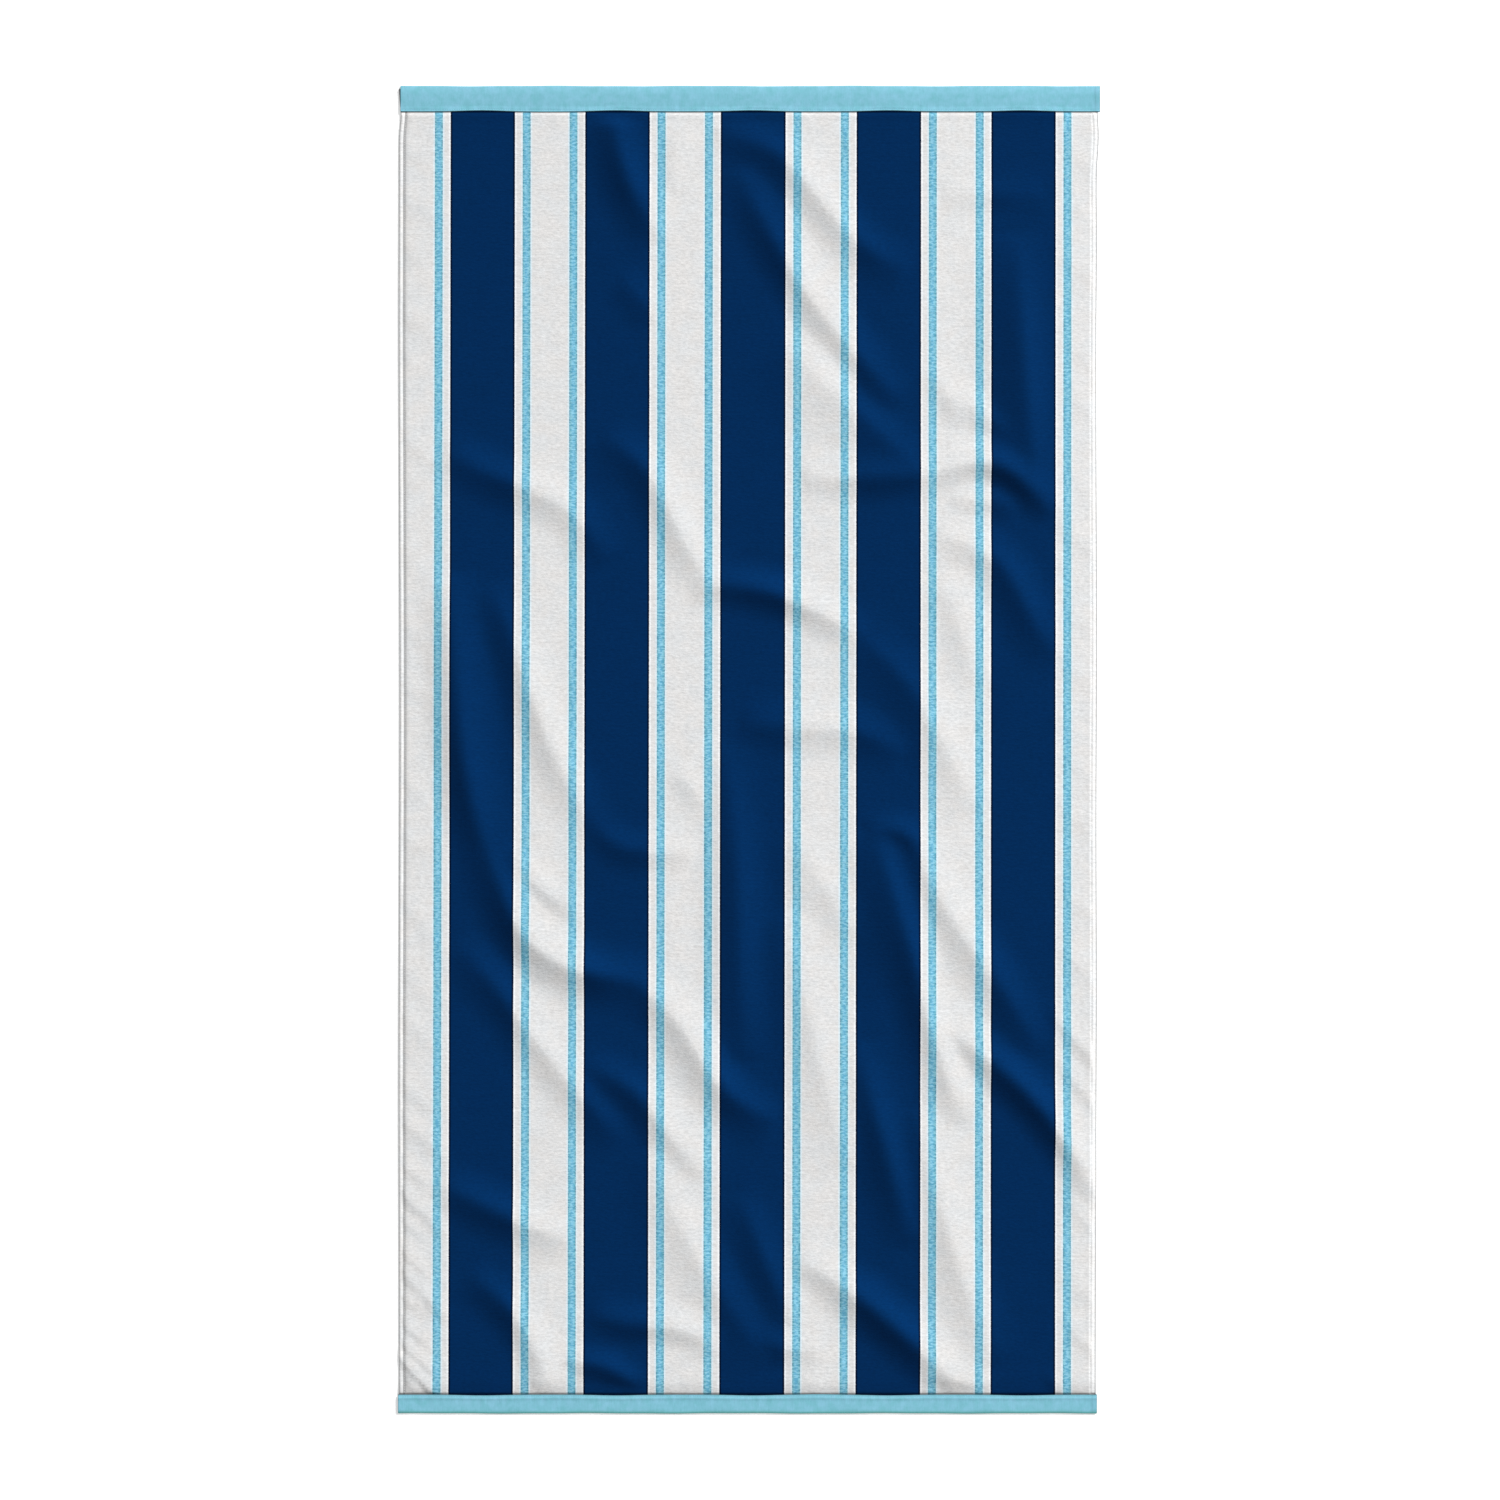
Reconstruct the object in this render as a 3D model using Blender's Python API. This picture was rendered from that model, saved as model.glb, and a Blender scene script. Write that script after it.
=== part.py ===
"""A beach towel laid out face up: striped terry with hemmed long sides, and a tape bound over each end.

Metres. +X runs across the towel, +Y along it towards the wide binding, +Z up. The origin is on the surface
that the towel lies on, under its centre. The folds and edges are given in millimetres from that centre.
"""

import math
from collections import namedtuple

import bmesh
import bpy
import numpy as np

MM = 0.001

# Driving dimensions, millimetres
LENGTH = 1700.0  # over both bindings
CLOTH_LEFT = -449.2  # the long sides of the cloth
CLOTH_RIGHT = 445.4
PILE_THICKNESS = 3.0  # the cloth away from its edges
BOUND_THICKNESS = 1.8  # the cloth pressed flat inside a binding
TAPE_THICKNESS = 0.6
PLAY = 0.3  # gap between the cloth and its tape
TOP_TAPE = 32.5  # how much of the tape shows at the top end
BOTTOM_TAPE = 22.5  # and at the bottom end
TUCK = 2.4  # cloth end to the inside of the tape's fold
RISE = 14.0  # length over which the cloth climbs off the surface into its tape
SWELL = 3.5  # length over which the pile swells to its full height outside the tape
FOLD_FADE = 30.0  # the folds die out over this length before a tape

COLUMNS = 76  # cells across the cloth between its hems, before thinning
ROWS = 132  # cells along the cloth between its tapes, before thinning
KEPT_SHARE = 0.185  # share of the cloth's triangles that the thinning keeps
TAPE_STATIONS = 20
TAPE_FOLD_STEPS = 6
CREST = 8.0  # rounding of a fold's top

# The hem in section: distance in from the edge, and the cloth's thickness there
HEM_PROFILE = ((0.0, 2.0), (1.4, 3.4), (5.8, 3.4), (7.4, 2.1), (10.5, PILE_THICKNESS))

# The bulges of the long sides: place along the towel, half length, and how far the edge moves to the right
LEFT_WAVES = ((815.0, 26.0, 2.4), (545.0, 120.0, -0.4), (60.0, 240.0, 0.9), (-420.0, 150.0, -0.4))
RIGHT_WAVES = (
    (787.0, 36.0, 3.0),
    (650.0, 70.0, 0.8),
    (150.0, 160.0, 1.0),
    (-300.0, 130.0, 0.7),
    (-815.0, 200.0, -0.9),
)

Fold = namedtuple("Fold", "start end bow sway height lit lee")
# One row for each fold: where its crest starts and ends, how far it bows to the left of that line, how far it
# sways in an S, its height, and how far it spreads to its left and to its right
FOLDS = (
    Fold((-396, 386), (-184, 238), 22, -9, 6.5, 38, 40),
    Fold((-190, 402), (-38, 205), 12, 7.5, 7.0, 40, 42),
    Fold((-75, 209), (150, 143), 19, 1, 8.0, 32, 32),
    Fold((124, 156), (296, -79), 18, 3, 5.5, 42, 58),
    Fold((-180, 835), (-112, 655), -12, 1, 7.5, 38, 42),
    Fold((-45, 790), (206, 610), 12, 13, 7.0, 36, 40),
    Fold((-16, 745), (194, 440), -13, -1, 7.5, 38, 38),
    Fold((38, 532), (226, 350), -3, 0, 6.0, 36, 88),
    Fold((66, 346), (288, 370), -7, 2, 6.5, 46, 32),
    Fold((235, 352), (392, 300), 34, 3, 9.0, 40, 28),
    Fold((258, 316), (345, 306), 8, 0, 3.0, 20, 20),
    Fold((341, 660), (372, 315), -4, 1, 7.5, 40, 76),
    Fold((255, 466), (341, 396), 0, -1, 4.0, 26, 30),
    Fold((235, 275), (395, 115), 27, 8, 6.0, 36, 42),
    Fold((247, 230), (292, 78), 4, 0, 3.5, 38, 40),
    Fold((-12, 36), (198, -9), 13, -6, 5.5, 42, 36),
    Fold((-386, 225), (-316, -190), -16, 3, 9.5, 52, 44),
    Fold((-334, -130), (-121, -300), -50, -1, 11.5, 42, 44),
    Fold((-160, -294), (38, -478), -4, 12, 9.0, 36, 44),
    Fold((-332, 210), (-194, -108), -6, 3, 7.0, 36, 42),
    Fold((-205, -88), (-65, -130), -19, -5, 4.5, 30, 30),
    Fold((-312, -120), (-213, -214), -8, -1, 4.5, 24, 26),
    Fold((-377, -247), (-164, -506), 2, 1, 6.5, 34, 40),
    Fold((-217, -405), (-49, -551), 15, 5, 6.5, 32, 38),
    Fold((-34, 5), (-6, -400), 5, 2, 6.5, 42, 56),
    Fold((58, -100), (140, -250), 0, -2, 4.0, 40, 60),
    Fold((146, -104), (228, -148), 19, 0, 5.0, 26, 24),
    Fold((158, -98), (222, -300), -2, 0, 8.5, 42, 84),
    Fold((190, -205), (278, -478), -3, 1, 8.5, 30, 44),
    Fold((198, -85), (374, -390), -7, -3, 7.0, 40, 46),
    Fold((240, -342), (447, -578), 20, -2, 9.0, 36, 34),
    Fold((46, -210), (128, -540), 1, 1, 5.5, 58, 68),
    Fold((136, -378), (207, -636), 1, 0, 7.5, 40, 48),
    Fold((214, -460), (313, -790), -3, 0, 6.5, 44, 54),
    Fold((58, -646), (300, -838), 6, 2, 9.5, 38, 40),
    Fold((-127, -510), (25, -790), -11, -1, 5.2, 40, 58),
    Fold((-12, -571), (66, -744), -5, 1, 5.0, 34, 38),
    Fold((-402, -556), (-215, -628), -6, 1, 7.0, 36, 40),
    Fold((-360, -672), (-252, -836), 20, 0, 6.5, 30, 34),
    Fold((-205, -722), (-35, -773), 9, -6, 6.0, 32, 26),
    Fold((-238, -783), (-139, -822), 10, -1, 5.5, 24, 22),
)


def smooth_step(low, high, value):
    """0 up to low, 1 from high, and a smooth change between them."""
    share = np.clip((value - low) / (high - low), 0.0, 1.0)
    return share * share * (3.0 - 2.0 * share)


def swell(waves, along):
    """How far an edge is moved by its bulges, at a place along the towel."""
    return sum(reach * np.exp(-(((along - place) / half) ** 2)) for place, half, reach in waves)


def crest_points(fold, steps=14):
    """Points along a fold's crest."""
    start, end = np.array(fold.start, float), np.array(fold.end, float)
    run = end - start
    left = np.array((-run[1], run[0])) / np.hypot(*run)
    share = np.linspace(0.0, 1.0, steps)
    aside = 1.125 * fold.bow * np.sin(math.pi * share) + 1.15 * fold.sway * np.sin(2.0 * math.pi * share)
    return start + share[:, None] * run + aside[:, None] * left


def fold_height(fold, across, along):
    """Height of one fold: highest along its crest, and falling away as a parabola to both sides."""
    points = crest_points(fold)
    nearest = np.full(across.shape, 1e9)
    side = np.zeros(across.shape)
    share = np.zeros(across.shape)
    pieces = len(points) - 1
    for index in range(pieces):
        base = points[index]
        run = points[index + 1] - base
        length = np.hypot(*run)
        place = np.clip(((across - base[0]) * run[0] + (along - base[1]) * run[1]) / length**2, 0.0, 1.0)
        off_x = across - base[0] - place * run[0]
        off_y = along - base[1] - place * run[1]
        distance = np.hypot(off_x, off_y)
        closer = distance < nearest
        nearest = np.where(closer, distance, nearest)
        side = np.where(closer, (run[0] * off_y - run[1] * off_x) / length, side)
        share = np.where(closer, (index + place) / pieces, share)
    spread = fold.lee + (fold.lit - fold.lee) * smooth_step(-CREST, CREST, side)
    away = (np.sqrt(nearest**2 + CREST**2) - CREST) / spread
    return fold.height * np.sin(math.pi * share) ** 0.6 * np.clip(1.0 - away, 0.0, None) ** 2


def relief(across, along):
    """Height of the cloth's underside where it lies in folds."""
    total = sum(fold_height(fold, across, along) ** 2 for fold in FOLDS)
    from_tape = np.minimum(LENGTH / 2 - TOP_TAPE - along, along + LENGTH / 2 - BOTTOM_TAPE)
    return np.sqrt(total) * smooth_step(0.0, FOLD_FADE, from_tape)


def cloth_lines(low, high, cells, profile):
    """Places between two edges: closely spaced at the edges as the profile says, evenly spaced between."""
    near = [low + step for step in profile]
    far = [high - step for step in reversed(profile)]
    between = np.linspace(near[-1], far[0], cells + 1)[1:-1]
    return np.array([*near, *between, *far])


def cloth_grid():
    """Places of the cloth's vertices as two grids, a row for each line across the towel."""
    end = LENGTH / 2 - TAPE_THICKNESS - TUCK
    inner_top = LENGTH / 2 - TOP_TAPE
    inner_bottom = BOTTOM_TAPE - LENGTH / 2
    steps = (-2.0, -1.0, 0.5, SWELL, RISE)
    below = [-end, *(inner_bottom + step for step in steps)]
    above = [*(inner_top - step for step in reversed(steps)), end]
    between = np.linspace(below[-1], above[0], ROWS + 1)[1:-1]
    along = np.array([*below, *between, *above])
    hem_steps = [step for step, _ in HEM_PROFILE]
    rows = []
    for y in along:
        left = CLOTH_LEFT + swell(LEFT_WAVES, y)
        right = CLOTH_RIGHT + swell(RIGHT_WAVES, y)
        rows.append(cloth_lines(left, right, COLUMNS, hem_steps))
    across = np.array(rows)
    return across, np.repeat(along[:, None], across.shape[1], axis=1)


def cloth_thickness(across, along):
    """The pile's thickness, the hems' at the long sides, and the pressed ends' inside the tapes."""
    from_side = np.minimum(across - across[:, :1], across[:, -1:] - across)
    places, depths = zip(*HEM_PROFILE)
    open_cloth = np.interp(from_side, places, depths)
    from_tape = np.minimum(LENGTH / 2 - TOP_TAPE - along, along + LENGTH / 2 - BOTTOM_TAPE)
    return BOUND_THICKNESS + (open_cloth - BOUND_THICKNESS) * smooth_step(1.0, SWELL, from_tape)


def make_material(name, colour, roughness):
    material = bpy.data.materials.new(name)
    material.use_nodes = True
    shader = material.node_tree.nodes["Principled BSDF"]
    shader.inputs["Base Color"].default_value = (*colour, 1.0)
    shader.inputs["Roughness"].default_value = roughness
    shader.inputs["Metallic"].default_value = 0.0
    return material


def add_object(name, mesh, material):
    mesh.materials.append(material)
    mesh.shade_smooth()
    mesh.set_sharp_from_angle(angle=math.radians(40))
    item = bpy.data.objects.new(name, mesh)
    bpy.context.scene.collection.objects.link(item)
    return item


def close_loops(work, loops, ends_closed):
    """Faces between neighbouring rings of vertices, and over the first and last ring."""
    for near, far in zip(loops, loops[1:]):
        count = len(near)
        for index in range(count):
            following = (index + 1) % count
            work.faces.new((near[index], near[following], far[following], far[index]))
    if ends_closed:
        work.faces.new(list(reversed(loops[0])))
        work.faces.new(loops[-1])


def add_layer(work, across, along, up):
    """A grid of vertices, as a list of rows."""
    rows, columns = across.shape
    return [
        [work.verts.new((across[r, c] * MM, along[r, c] * MM, up[r, c] * MM)) for c in range(columns)]
        for r in range(rows)
    ]


def make_cloth():
    """The striped cloth: an underside that lies in folds, and the pile a thickness above it."""
    across, along = cloth_grid()
    from_tape = np.minimum(LENGTH / 2 - TOP_TAPE - along, along + LENGTH / 2 - BOTTOM_TAPE)
    lift = (TAPE_THICKNESS + PLAY) * (1.0 - smooth_step(0.5, RISE, from_tape))
    under = relief(across, along) + lift
    over = under + cloth_thickness(across, along)
    rows, columns = across.shape
    work = bmesh.new()
    low = add_layer(work, across, along, under)
    high = add_layer(work, across, along, over)
    for r in range(rows - 1):
        for c in range(columns - 1):
            work.faces.new((low[r][c], low[r + 1][c], low[r + 1][c + 1], low[r][c + 1]))
            work.faces.new((high[r][c], high[r][c + 1], high[r + 1][c + 1], high[r + 1][c]))
    for r in range(rows - 1):
        work.faces.new((low[r][0], high[r][0], high[r + 1][0], low[r + 1][0]))
        work.faces.new((low[r][-1], low[r + 1][-1], high[r + 1][-1], high[r][-1]))
    for c in range(columns - 1):
        work.faces.new((low[0][c], low[0][c + 1], high[0][c + 1], high[0][c]))
        work.faces.new((low[-1][c], high[-1][c], high[-1][c + 1], low[-1][c + 1]))
    mesh = bpy.data.meshes.new("towel_cloth")
    work.to_mesh(mesh)
    work.free()
    cloth = add_object("towel_cloth", mesh, make_material("terry", (0.74, 0.75, 0.76), 0.95))
    thinning = cloth.modifiers.new("thinning", "DECIMATE")
    thinning.ratio = KEPT_SHARE
    bpy.context.view_layer.objects.active = cloth
    bpy.ops.object.modifier_apply(modifier="thinning")
    for vertex in cloth.data.vertices:
        vertex.co.z = max(vertex.co.z, 0.0)
    return cloth


def tape_section(reach, height):
    """The folded tape in section, round its outline: (distance in from the fold, height) pairs.

    It starts at the lower leaf's edge, goes round the outside of the fold to the upper leaf's edge, and comes
    back along the inside.
    """
    outer = height / 2
    inner = outer - TAPE_THICKNESS
    turn = [math.pi * step / TAPE_FOLD_STEPS for step in range(TAPE_FOLD_STEPS + 1)]
    outside = [(outer * (1.0 - math.sin(a)), outer - outer * math.cos(a)) for a in turn]
    inside = [(outer - inner * math.sin(a), outer + inner * math.cos(a)) for a in turn]
    rounding = TAPE_THICKNESS * 0.25
    lower = [(reach - rounding, TAPE_THICKNESS), (reach, TAPE_THICKNESS / 2), (reach - rounding, 0.0)]
    upper = [(reach - rounding, height), (reach, height - TAPE_THICKNESS / 2)]
    upper.append((reach - rounding, height - TAPE_THICKNESS))
    return lower + outside + upper + inside


def make_binding(name, left, right, reach, outward, waves, material):
    """One end's tape, folded over the cloth. outward is +1 at the top end and -1 at the bottom end."""
    height = 2 * TAPE_THICKNESS + 2 * PLAY + BOUND_THICKNESS
    work = bmesh.new()
    loops = []
    for station in range(TAPE_STATIONS + 1):
        across = left + (right - left) * station / TAPE_STATIONS
        ripple = swell(waves, across)
        ring = []
        for inward, up in tape_section(reach + ripple, height):
            ring.append(work.verts.new((across * MM, outward * (LENGTH / 2 - inward) * MM, up * MM)))
        loops.append(ring)
    close_loops(work, loops, ends_closed=True)
    bmesh.ops.recalc_face_normals(work, faces=work.faces[:])
    mesh = bpy.data.meshes.new(name)
    work.to_mesh(mesh)
    work.free()
    return add_object(name, mesh, material)


def main():
    for item in list(bpy.data.objects):
        bpy.data.objects.remove(item, do_unlink=True)
    make_cloth()
    tape = make_material("tape", (0.22, 0.54, 0.68), 0.85)
    top_waves = ((-300.0, 60.0, 0.5), (-60.0, 90.0, -0.4), (240.0, 70.0, 0.6))
    bottom_waves = ((-200.0, 90.0, 0.5), (110.0, 70.0, -0.5), (360.0, 60.0, 0.5))
    make_binding("binding_top", -447.0, 450.0, TOP_TAPE, 1.0, top_waves, tape)
    make_binding("binding_bottom", -450.0, 446.0, BOTTOM_TAPE, -1.0, bottom_waves, tape)


main()
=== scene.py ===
import math
from collections import namedtuple

import bpy
import numpy as np
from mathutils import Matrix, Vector


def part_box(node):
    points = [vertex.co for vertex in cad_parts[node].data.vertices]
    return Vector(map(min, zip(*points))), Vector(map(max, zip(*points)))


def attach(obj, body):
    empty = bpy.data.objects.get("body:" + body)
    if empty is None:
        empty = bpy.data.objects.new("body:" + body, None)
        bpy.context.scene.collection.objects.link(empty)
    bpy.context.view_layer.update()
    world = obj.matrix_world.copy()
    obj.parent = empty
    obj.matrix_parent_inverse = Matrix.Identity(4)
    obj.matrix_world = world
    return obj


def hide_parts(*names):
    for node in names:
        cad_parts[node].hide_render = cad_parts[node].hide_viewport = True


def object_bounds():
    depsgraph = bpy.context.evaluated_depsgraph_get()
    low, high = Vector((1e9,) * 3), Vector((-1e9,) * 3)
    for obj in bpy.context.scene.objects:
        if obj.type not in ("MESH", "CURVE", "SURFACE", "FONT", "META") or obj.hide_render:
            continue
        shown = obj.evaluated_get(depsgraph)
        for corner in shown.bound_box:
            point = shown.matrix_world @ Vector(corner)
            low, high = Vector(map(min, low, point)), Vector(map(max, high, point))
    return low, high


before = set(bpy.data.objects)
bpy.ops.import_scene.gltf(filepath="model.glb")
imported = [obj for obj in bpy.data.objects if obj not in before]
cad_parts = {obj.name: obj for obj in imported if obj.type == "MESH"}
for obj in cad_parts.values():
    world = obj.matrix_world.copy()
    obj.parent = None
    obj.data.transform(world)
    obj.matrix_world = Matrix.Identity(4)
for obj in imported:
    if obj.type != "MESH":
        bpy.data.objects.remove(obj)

# A striped beach towel laid out face up. +X runs across it, +Y along it towards the wide binding, +Z up.
# Sizes and places are in millimetres, and MM turns them into metres.
MM = 0.001
cad_low, cad_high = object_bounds()
cloth_low, cloth_high = (np.array(corner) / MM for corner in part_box("towel_cloth"))
top_low, top_high = (np.array(corner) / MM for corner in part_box("binding_top"))
bottom_low, bottom_high = (np.array(corner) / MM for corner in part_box("binding_bottom"))

# ---------------------------------------------------------------- sizes of the cloth and its tape
PILE = 3.0  # thickness of the cloth away from its edges
PRESSED = 1.8  # and inside a binding
TAPE = 0.6  # thickness of the tape
PLAY = 0.3  # gap between the cloth and its tape
RISE = 14.0  # the cloth climbs off the surface into its tape over this length
SWELL = 3.2  # the pile swells to its full height over this length outside the tape
FOLD_FADE = 22.0  # the folds die out over this length before a tape
BINDING_HEIGHT = 2 * TAPE + 2 * PLAY + PRESSED  # of a folded tape with the cloth in it
PLEAT_START = 3.0  # a hem's pleats start this far in from the cloth's side
TOP_EDGE = top_low[1] + 0.6  # inner edge of the wide binding
BOTTOM_EDGE = bottom_high[1] - 0.5  # inner edge of the narrow binding
LEFT_LINE = cloth_low[0] + 0.4  # the long sides of the cloth, before their bulges
RIGHT_LINE = cloth_high[0] - 3.0
CELL = 6.2  # the cloth's mesh is this fine
FINE_CELL = 4.4  # and along the left side and the bottom end, which are wrinkled over the next length
WRINKLED = 54.0

# A hem in section: distance in from the edge, thickness, and how light it is under the key light, at the
# left side and at the right side. It is stitched down in the dip.
HEM = (
    (0.0, 1.8, 0.76, 0.34),
    (0.7, 2.7, 0.84, 0.39),
    (1.5, 3.3, 1.02, 0.88),
    (2.4, 3.6, 1.18, 1.15),
    (3.8, 3.7, 1.28, 1.34),
    (5.2, 3.5, 1.10, 1.48),
    (6.2, 2.8, 0.46, 1.52),
    (7.2, 1.9, 0.44, 1.38),
    (8.1, 2.3, 0.74, 1.04),
    (9.2, 2.8, 0.96, 0.90),
    (10.6, PILE, 0.97, 0.93),
    (13.6, PILE, 1.0, 1.0),
)
HEM_SEAM = 7.2  # the stitch line's distance in from the edge
# How light the cloth is beside a tape, under the key light: distance from the tape, and beside the top
# and the bottom tape
BESIDE_TAPE = (
    (-0.5, 0.28, 0.24),
    (0.5, 0.32, 0.27),
    (1.0, 0.44, 0.36),
    (1.6, 0.70, 0.48),
    (2.3, 1.00, 0.70),
    (3.2, 1.18, 0.86),
    (5.5, 1.09, 0.82),
    (8.5, 1.05, 0.83),
    (12.0, 1.03, 0.90),
    (16.0, 1.01, 0.96),
    (21.0, 1.0, 1.0),
)

# The bulges of the long sides: place along the towel, half length, and how far the edge moves to the right
LEFT_WAVES = ((815.0, 20.0, 2.4), (545.0, 120.0, -0.4), (60.0, 240.0, 0.9), (-420.0, 150.0, -0.4))
RIGHT_WAVES = (
    (787.0, 36.0, 3.0),
    (650.0, 70.0, 0.8),
    (150.0, 160.0, 1.0),
    (-300.0, 130.0, 0.7),
    (-815.0, 200.0, -0.9),
)

Fold = namedtuple("Fold", "start end bow sway height lit lee")
# One row for each fold: where its crest starts and ends, how far it bows to the left of that line, how far it
# sways in an S, its height, and how far it spreads to its left and to its right
FOLDS = (
    Fold((-396, 386), (-184, 238), 22, -9, 6.5, 38, 40),
    Fold((-190, 402), (-38, 205), 12, 7.5, 7.0, 40, 42),
    Fold((-75, 209), (150, 143), 19, 1, 8.0, 32, 32),
    Fold((124, 156), (296, -79), 18, 3, 5.5, 42, 58),
    Fold((-180, 835), (-112, 655), -12, 1, 7.5, 38, 42),
    Fold((-45, 790), (206, 610), 12, 13, 7.0, 36, 40),
    Fold((-16, 745), (194, 440), -13, -1, 7.5, 38, 38),
    Fold((38, 532), (226, 350), -3, 0, 6.0, 36, 88),
    Fold((66, 346), (288, 370), -7, 2, 6.5, 46, 32),
    Fold((235, 352), (392, 300), 34, 3, 9.0, 40, 28),
    Fold((258, 316), (345, 306), 8, 0, 3.0, 20, 20),
    Fold((341, 660), (372, 315), -4, 1, 7.5, 40, 76),
    Fold((255, 466), (341, 396), 0, -1, 4.0, 26, 30),
    Fold((235, 275), (395, 115), 27, 8, 6.0, 36, 42),
    Fold((247, 230), (292, 78), 4, 0, 3.5, 38, 40),
    Fold((-12, 36), (198, -9), 13, -6, 5.5, 42, 36),
    Fold((-386, 225), (-316, -190), -16, 3, 9.5, 52, 44),
    Fold((-334, -130), (-121, -300), -50, -1, 11.5, 42, 44),
    Fold((-160, -294), (38, -478), -4, 12, 9.0, 36, 44),
    Fold((-332, 210), (-194, -108), -6, 3, 7.0, 36, 42),
    Fold((-205, -88), (-65, -130), -19, -5, 4.5, 30, 30),
    Fold((-312, -120), (-213, -214), -8, -1, 4.5, 24, 26),
    Fold((-377, -247), (-164, -506), 2, 1, 6.5, 34, 40),
    Fold((-217, -405), (-49, -551), 15, 5, 6.5, 32, 38),
    Fold((-34, 5), (-6, -400), 5, 2, 6.5, 42, 56),
    Fold((58, -100), (140, -250), 0, -2, 4.0, 40, 60),
    Fold((146, -104), (228, -148), 19, 0, 5.0, 26, 24),
    Fold((158, -98), (222, -300), -2, 0, 8.5, 42, 84),
    Fold((190, -205), (278, -478), -3, 1, 8.5, 30, 44),
    Fold((198, -85), (374, -390), -7, -3, 7.0, 40, 46),
    Fold((240, -342), (447, -578), 20, -2, 9.0, 36, 34),
    Fold((46, -210), (128, -540), 1, 1, 5.5, 58, 68),
    Fold((136, -378), (207, -636), 1, 0, 7.5, 40, 48),
    Fold((214, -460), (313, -790), -3, 0, 6.5, 44, 54),
    Fold((58, -646), (300, -838), 6, 2, 9.5, 38, 40),
    Fold((-127, -510), (25, -790), -11, -1, 5.2, 40, 58),
    Fold((-12, -571), (66, -744), -5, 1, 5.0, 34, 38),
    Fold((-402, -556), (-215, -628), -6, 1, 7.0, 36, 40),
    Fold((-360, -672), (-252, -836), 20, 0, 6.5, 30, 34),
    Fold((-205, -722), (-35, -773), 9, -6, 6.0, 32, 26),
    Fold((-238, -783), (-139, -822), 10, -1, 5.5, 24, 22),
    # faint ones
    Fold((-84, 802), (-104, 712), 0, 0, 2.5, 28, 28),
    Fold((-168, 602), (-118, 545), 4, 0, 3.0, 30, 34),
    Fold((232, 492), (279, 414), 0, 0, 2.8, 22, 24),
    Fold((248, 712), (378, 712), 0, 0, 2.5, 30, 28),
    Fold((-92, -22), (-55, -72), 0, 0, 3.0, 18, 28),
    Fold((10, -757), (96, -764), -6, 0, 4.0, 30, 26),
)
CREST = 8.0  # rounding of a fold's top

Pleat = namedtuple("Pleat", "place reach lean height half")
# The small pleats that a binding or a hem gathers: place along that edge, length, how far the far end leans
# to the right or up, height and half width
TOP_PLEATS = (
    Pleat(-398, 20, 4, 0.7, 6),
    Pleat(-244, 26, -3, 0.8, 7),
    Pleat(-96, 16, 2, 0.6, 5),
    Pleat(72, 24, 5, 0.7, 7),
    Pleat(236, 18, -4, 0.6, 6),
    Pleat(402, 30, 6, 0.9, 7),
)
BOTTOM_PLEATS = (
    Pleat(-402, 66, -60, 3.4, 6.5),
    Pleat(-426, 30, -14, 1.6, 6),
    Pleat(-414, 20, 4, 1.2, 5),
    Pleat(-264, 26, -9, 1.5, 5),
    Pleat(-252, 18, -4, 0.9, 4),
    Pleat(-98, 22, -8, 1.0, 6),
    Pleat(86, 30, -10, 1.1, 7),
    Pleat(118, 18, -6, 0.8, 5),
    Pleat(262, 20, -7, 1.2, 6),
    Pleat(398, 32, -14, 1.6, 7),
    Pleat(424, 22, -9, 1.2, 5),
)
LEFT_PLEATS = (
    Pleat(781, 52, -40, 0.5, 14),
    Pleat(712, 66, -34, 0.7, 16),
    Pleat(655, 44, -46, 0.5, 12),
    Pleat(560, 62, -30, 0.7, 17),
    Pleat(512, 38, -38, 0.5, 11),
    Pleat(404, 58, -44, 0.7, 15),
    Pleat(352, 46, -24, 0.4, 12),
    Pleat(251, 64, -40, 0.6, 16),
    Pleat(168, 42, -44, 0.5, 12),
    Pleat(84, 60, -30, 0.7, 15),
    Pleat(-31, 48, -46, 0.6, 13),
    Pleat(-108, 66, -36, 0.8, 17),
    Pleat(-192, 52, -54, 1.0, 15),
    Pleat(-286, 44, -30, 0.7, 12),
    Pleat(-341, 62, -48, 0.9, 15),
    Pleat(-428, 54, -40, 1.1, 13),
    Pleat(-473, 70, -56, 1.5, 14),
    Pleat(-531, 46, -30, 1.4, 10),
    Pleat(-566, 66, -62, 2.2, 12),
    Pleat(-604, 36, -18, 1.5, 9),
    Pleat(-641, 50, -44, 2.0, 11),
    Pleat(-668, 72, -70, 2.3, 12),
    Pleat(-704, 34, -12, 1.6, 9),
    Pleat(-733, 44, -36, 1.9, 10),
    Pleat(-760, 60, -54, 2.2, 10),
    Pleat(-796, 30, -8, 1.5, 8),
)
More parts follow.
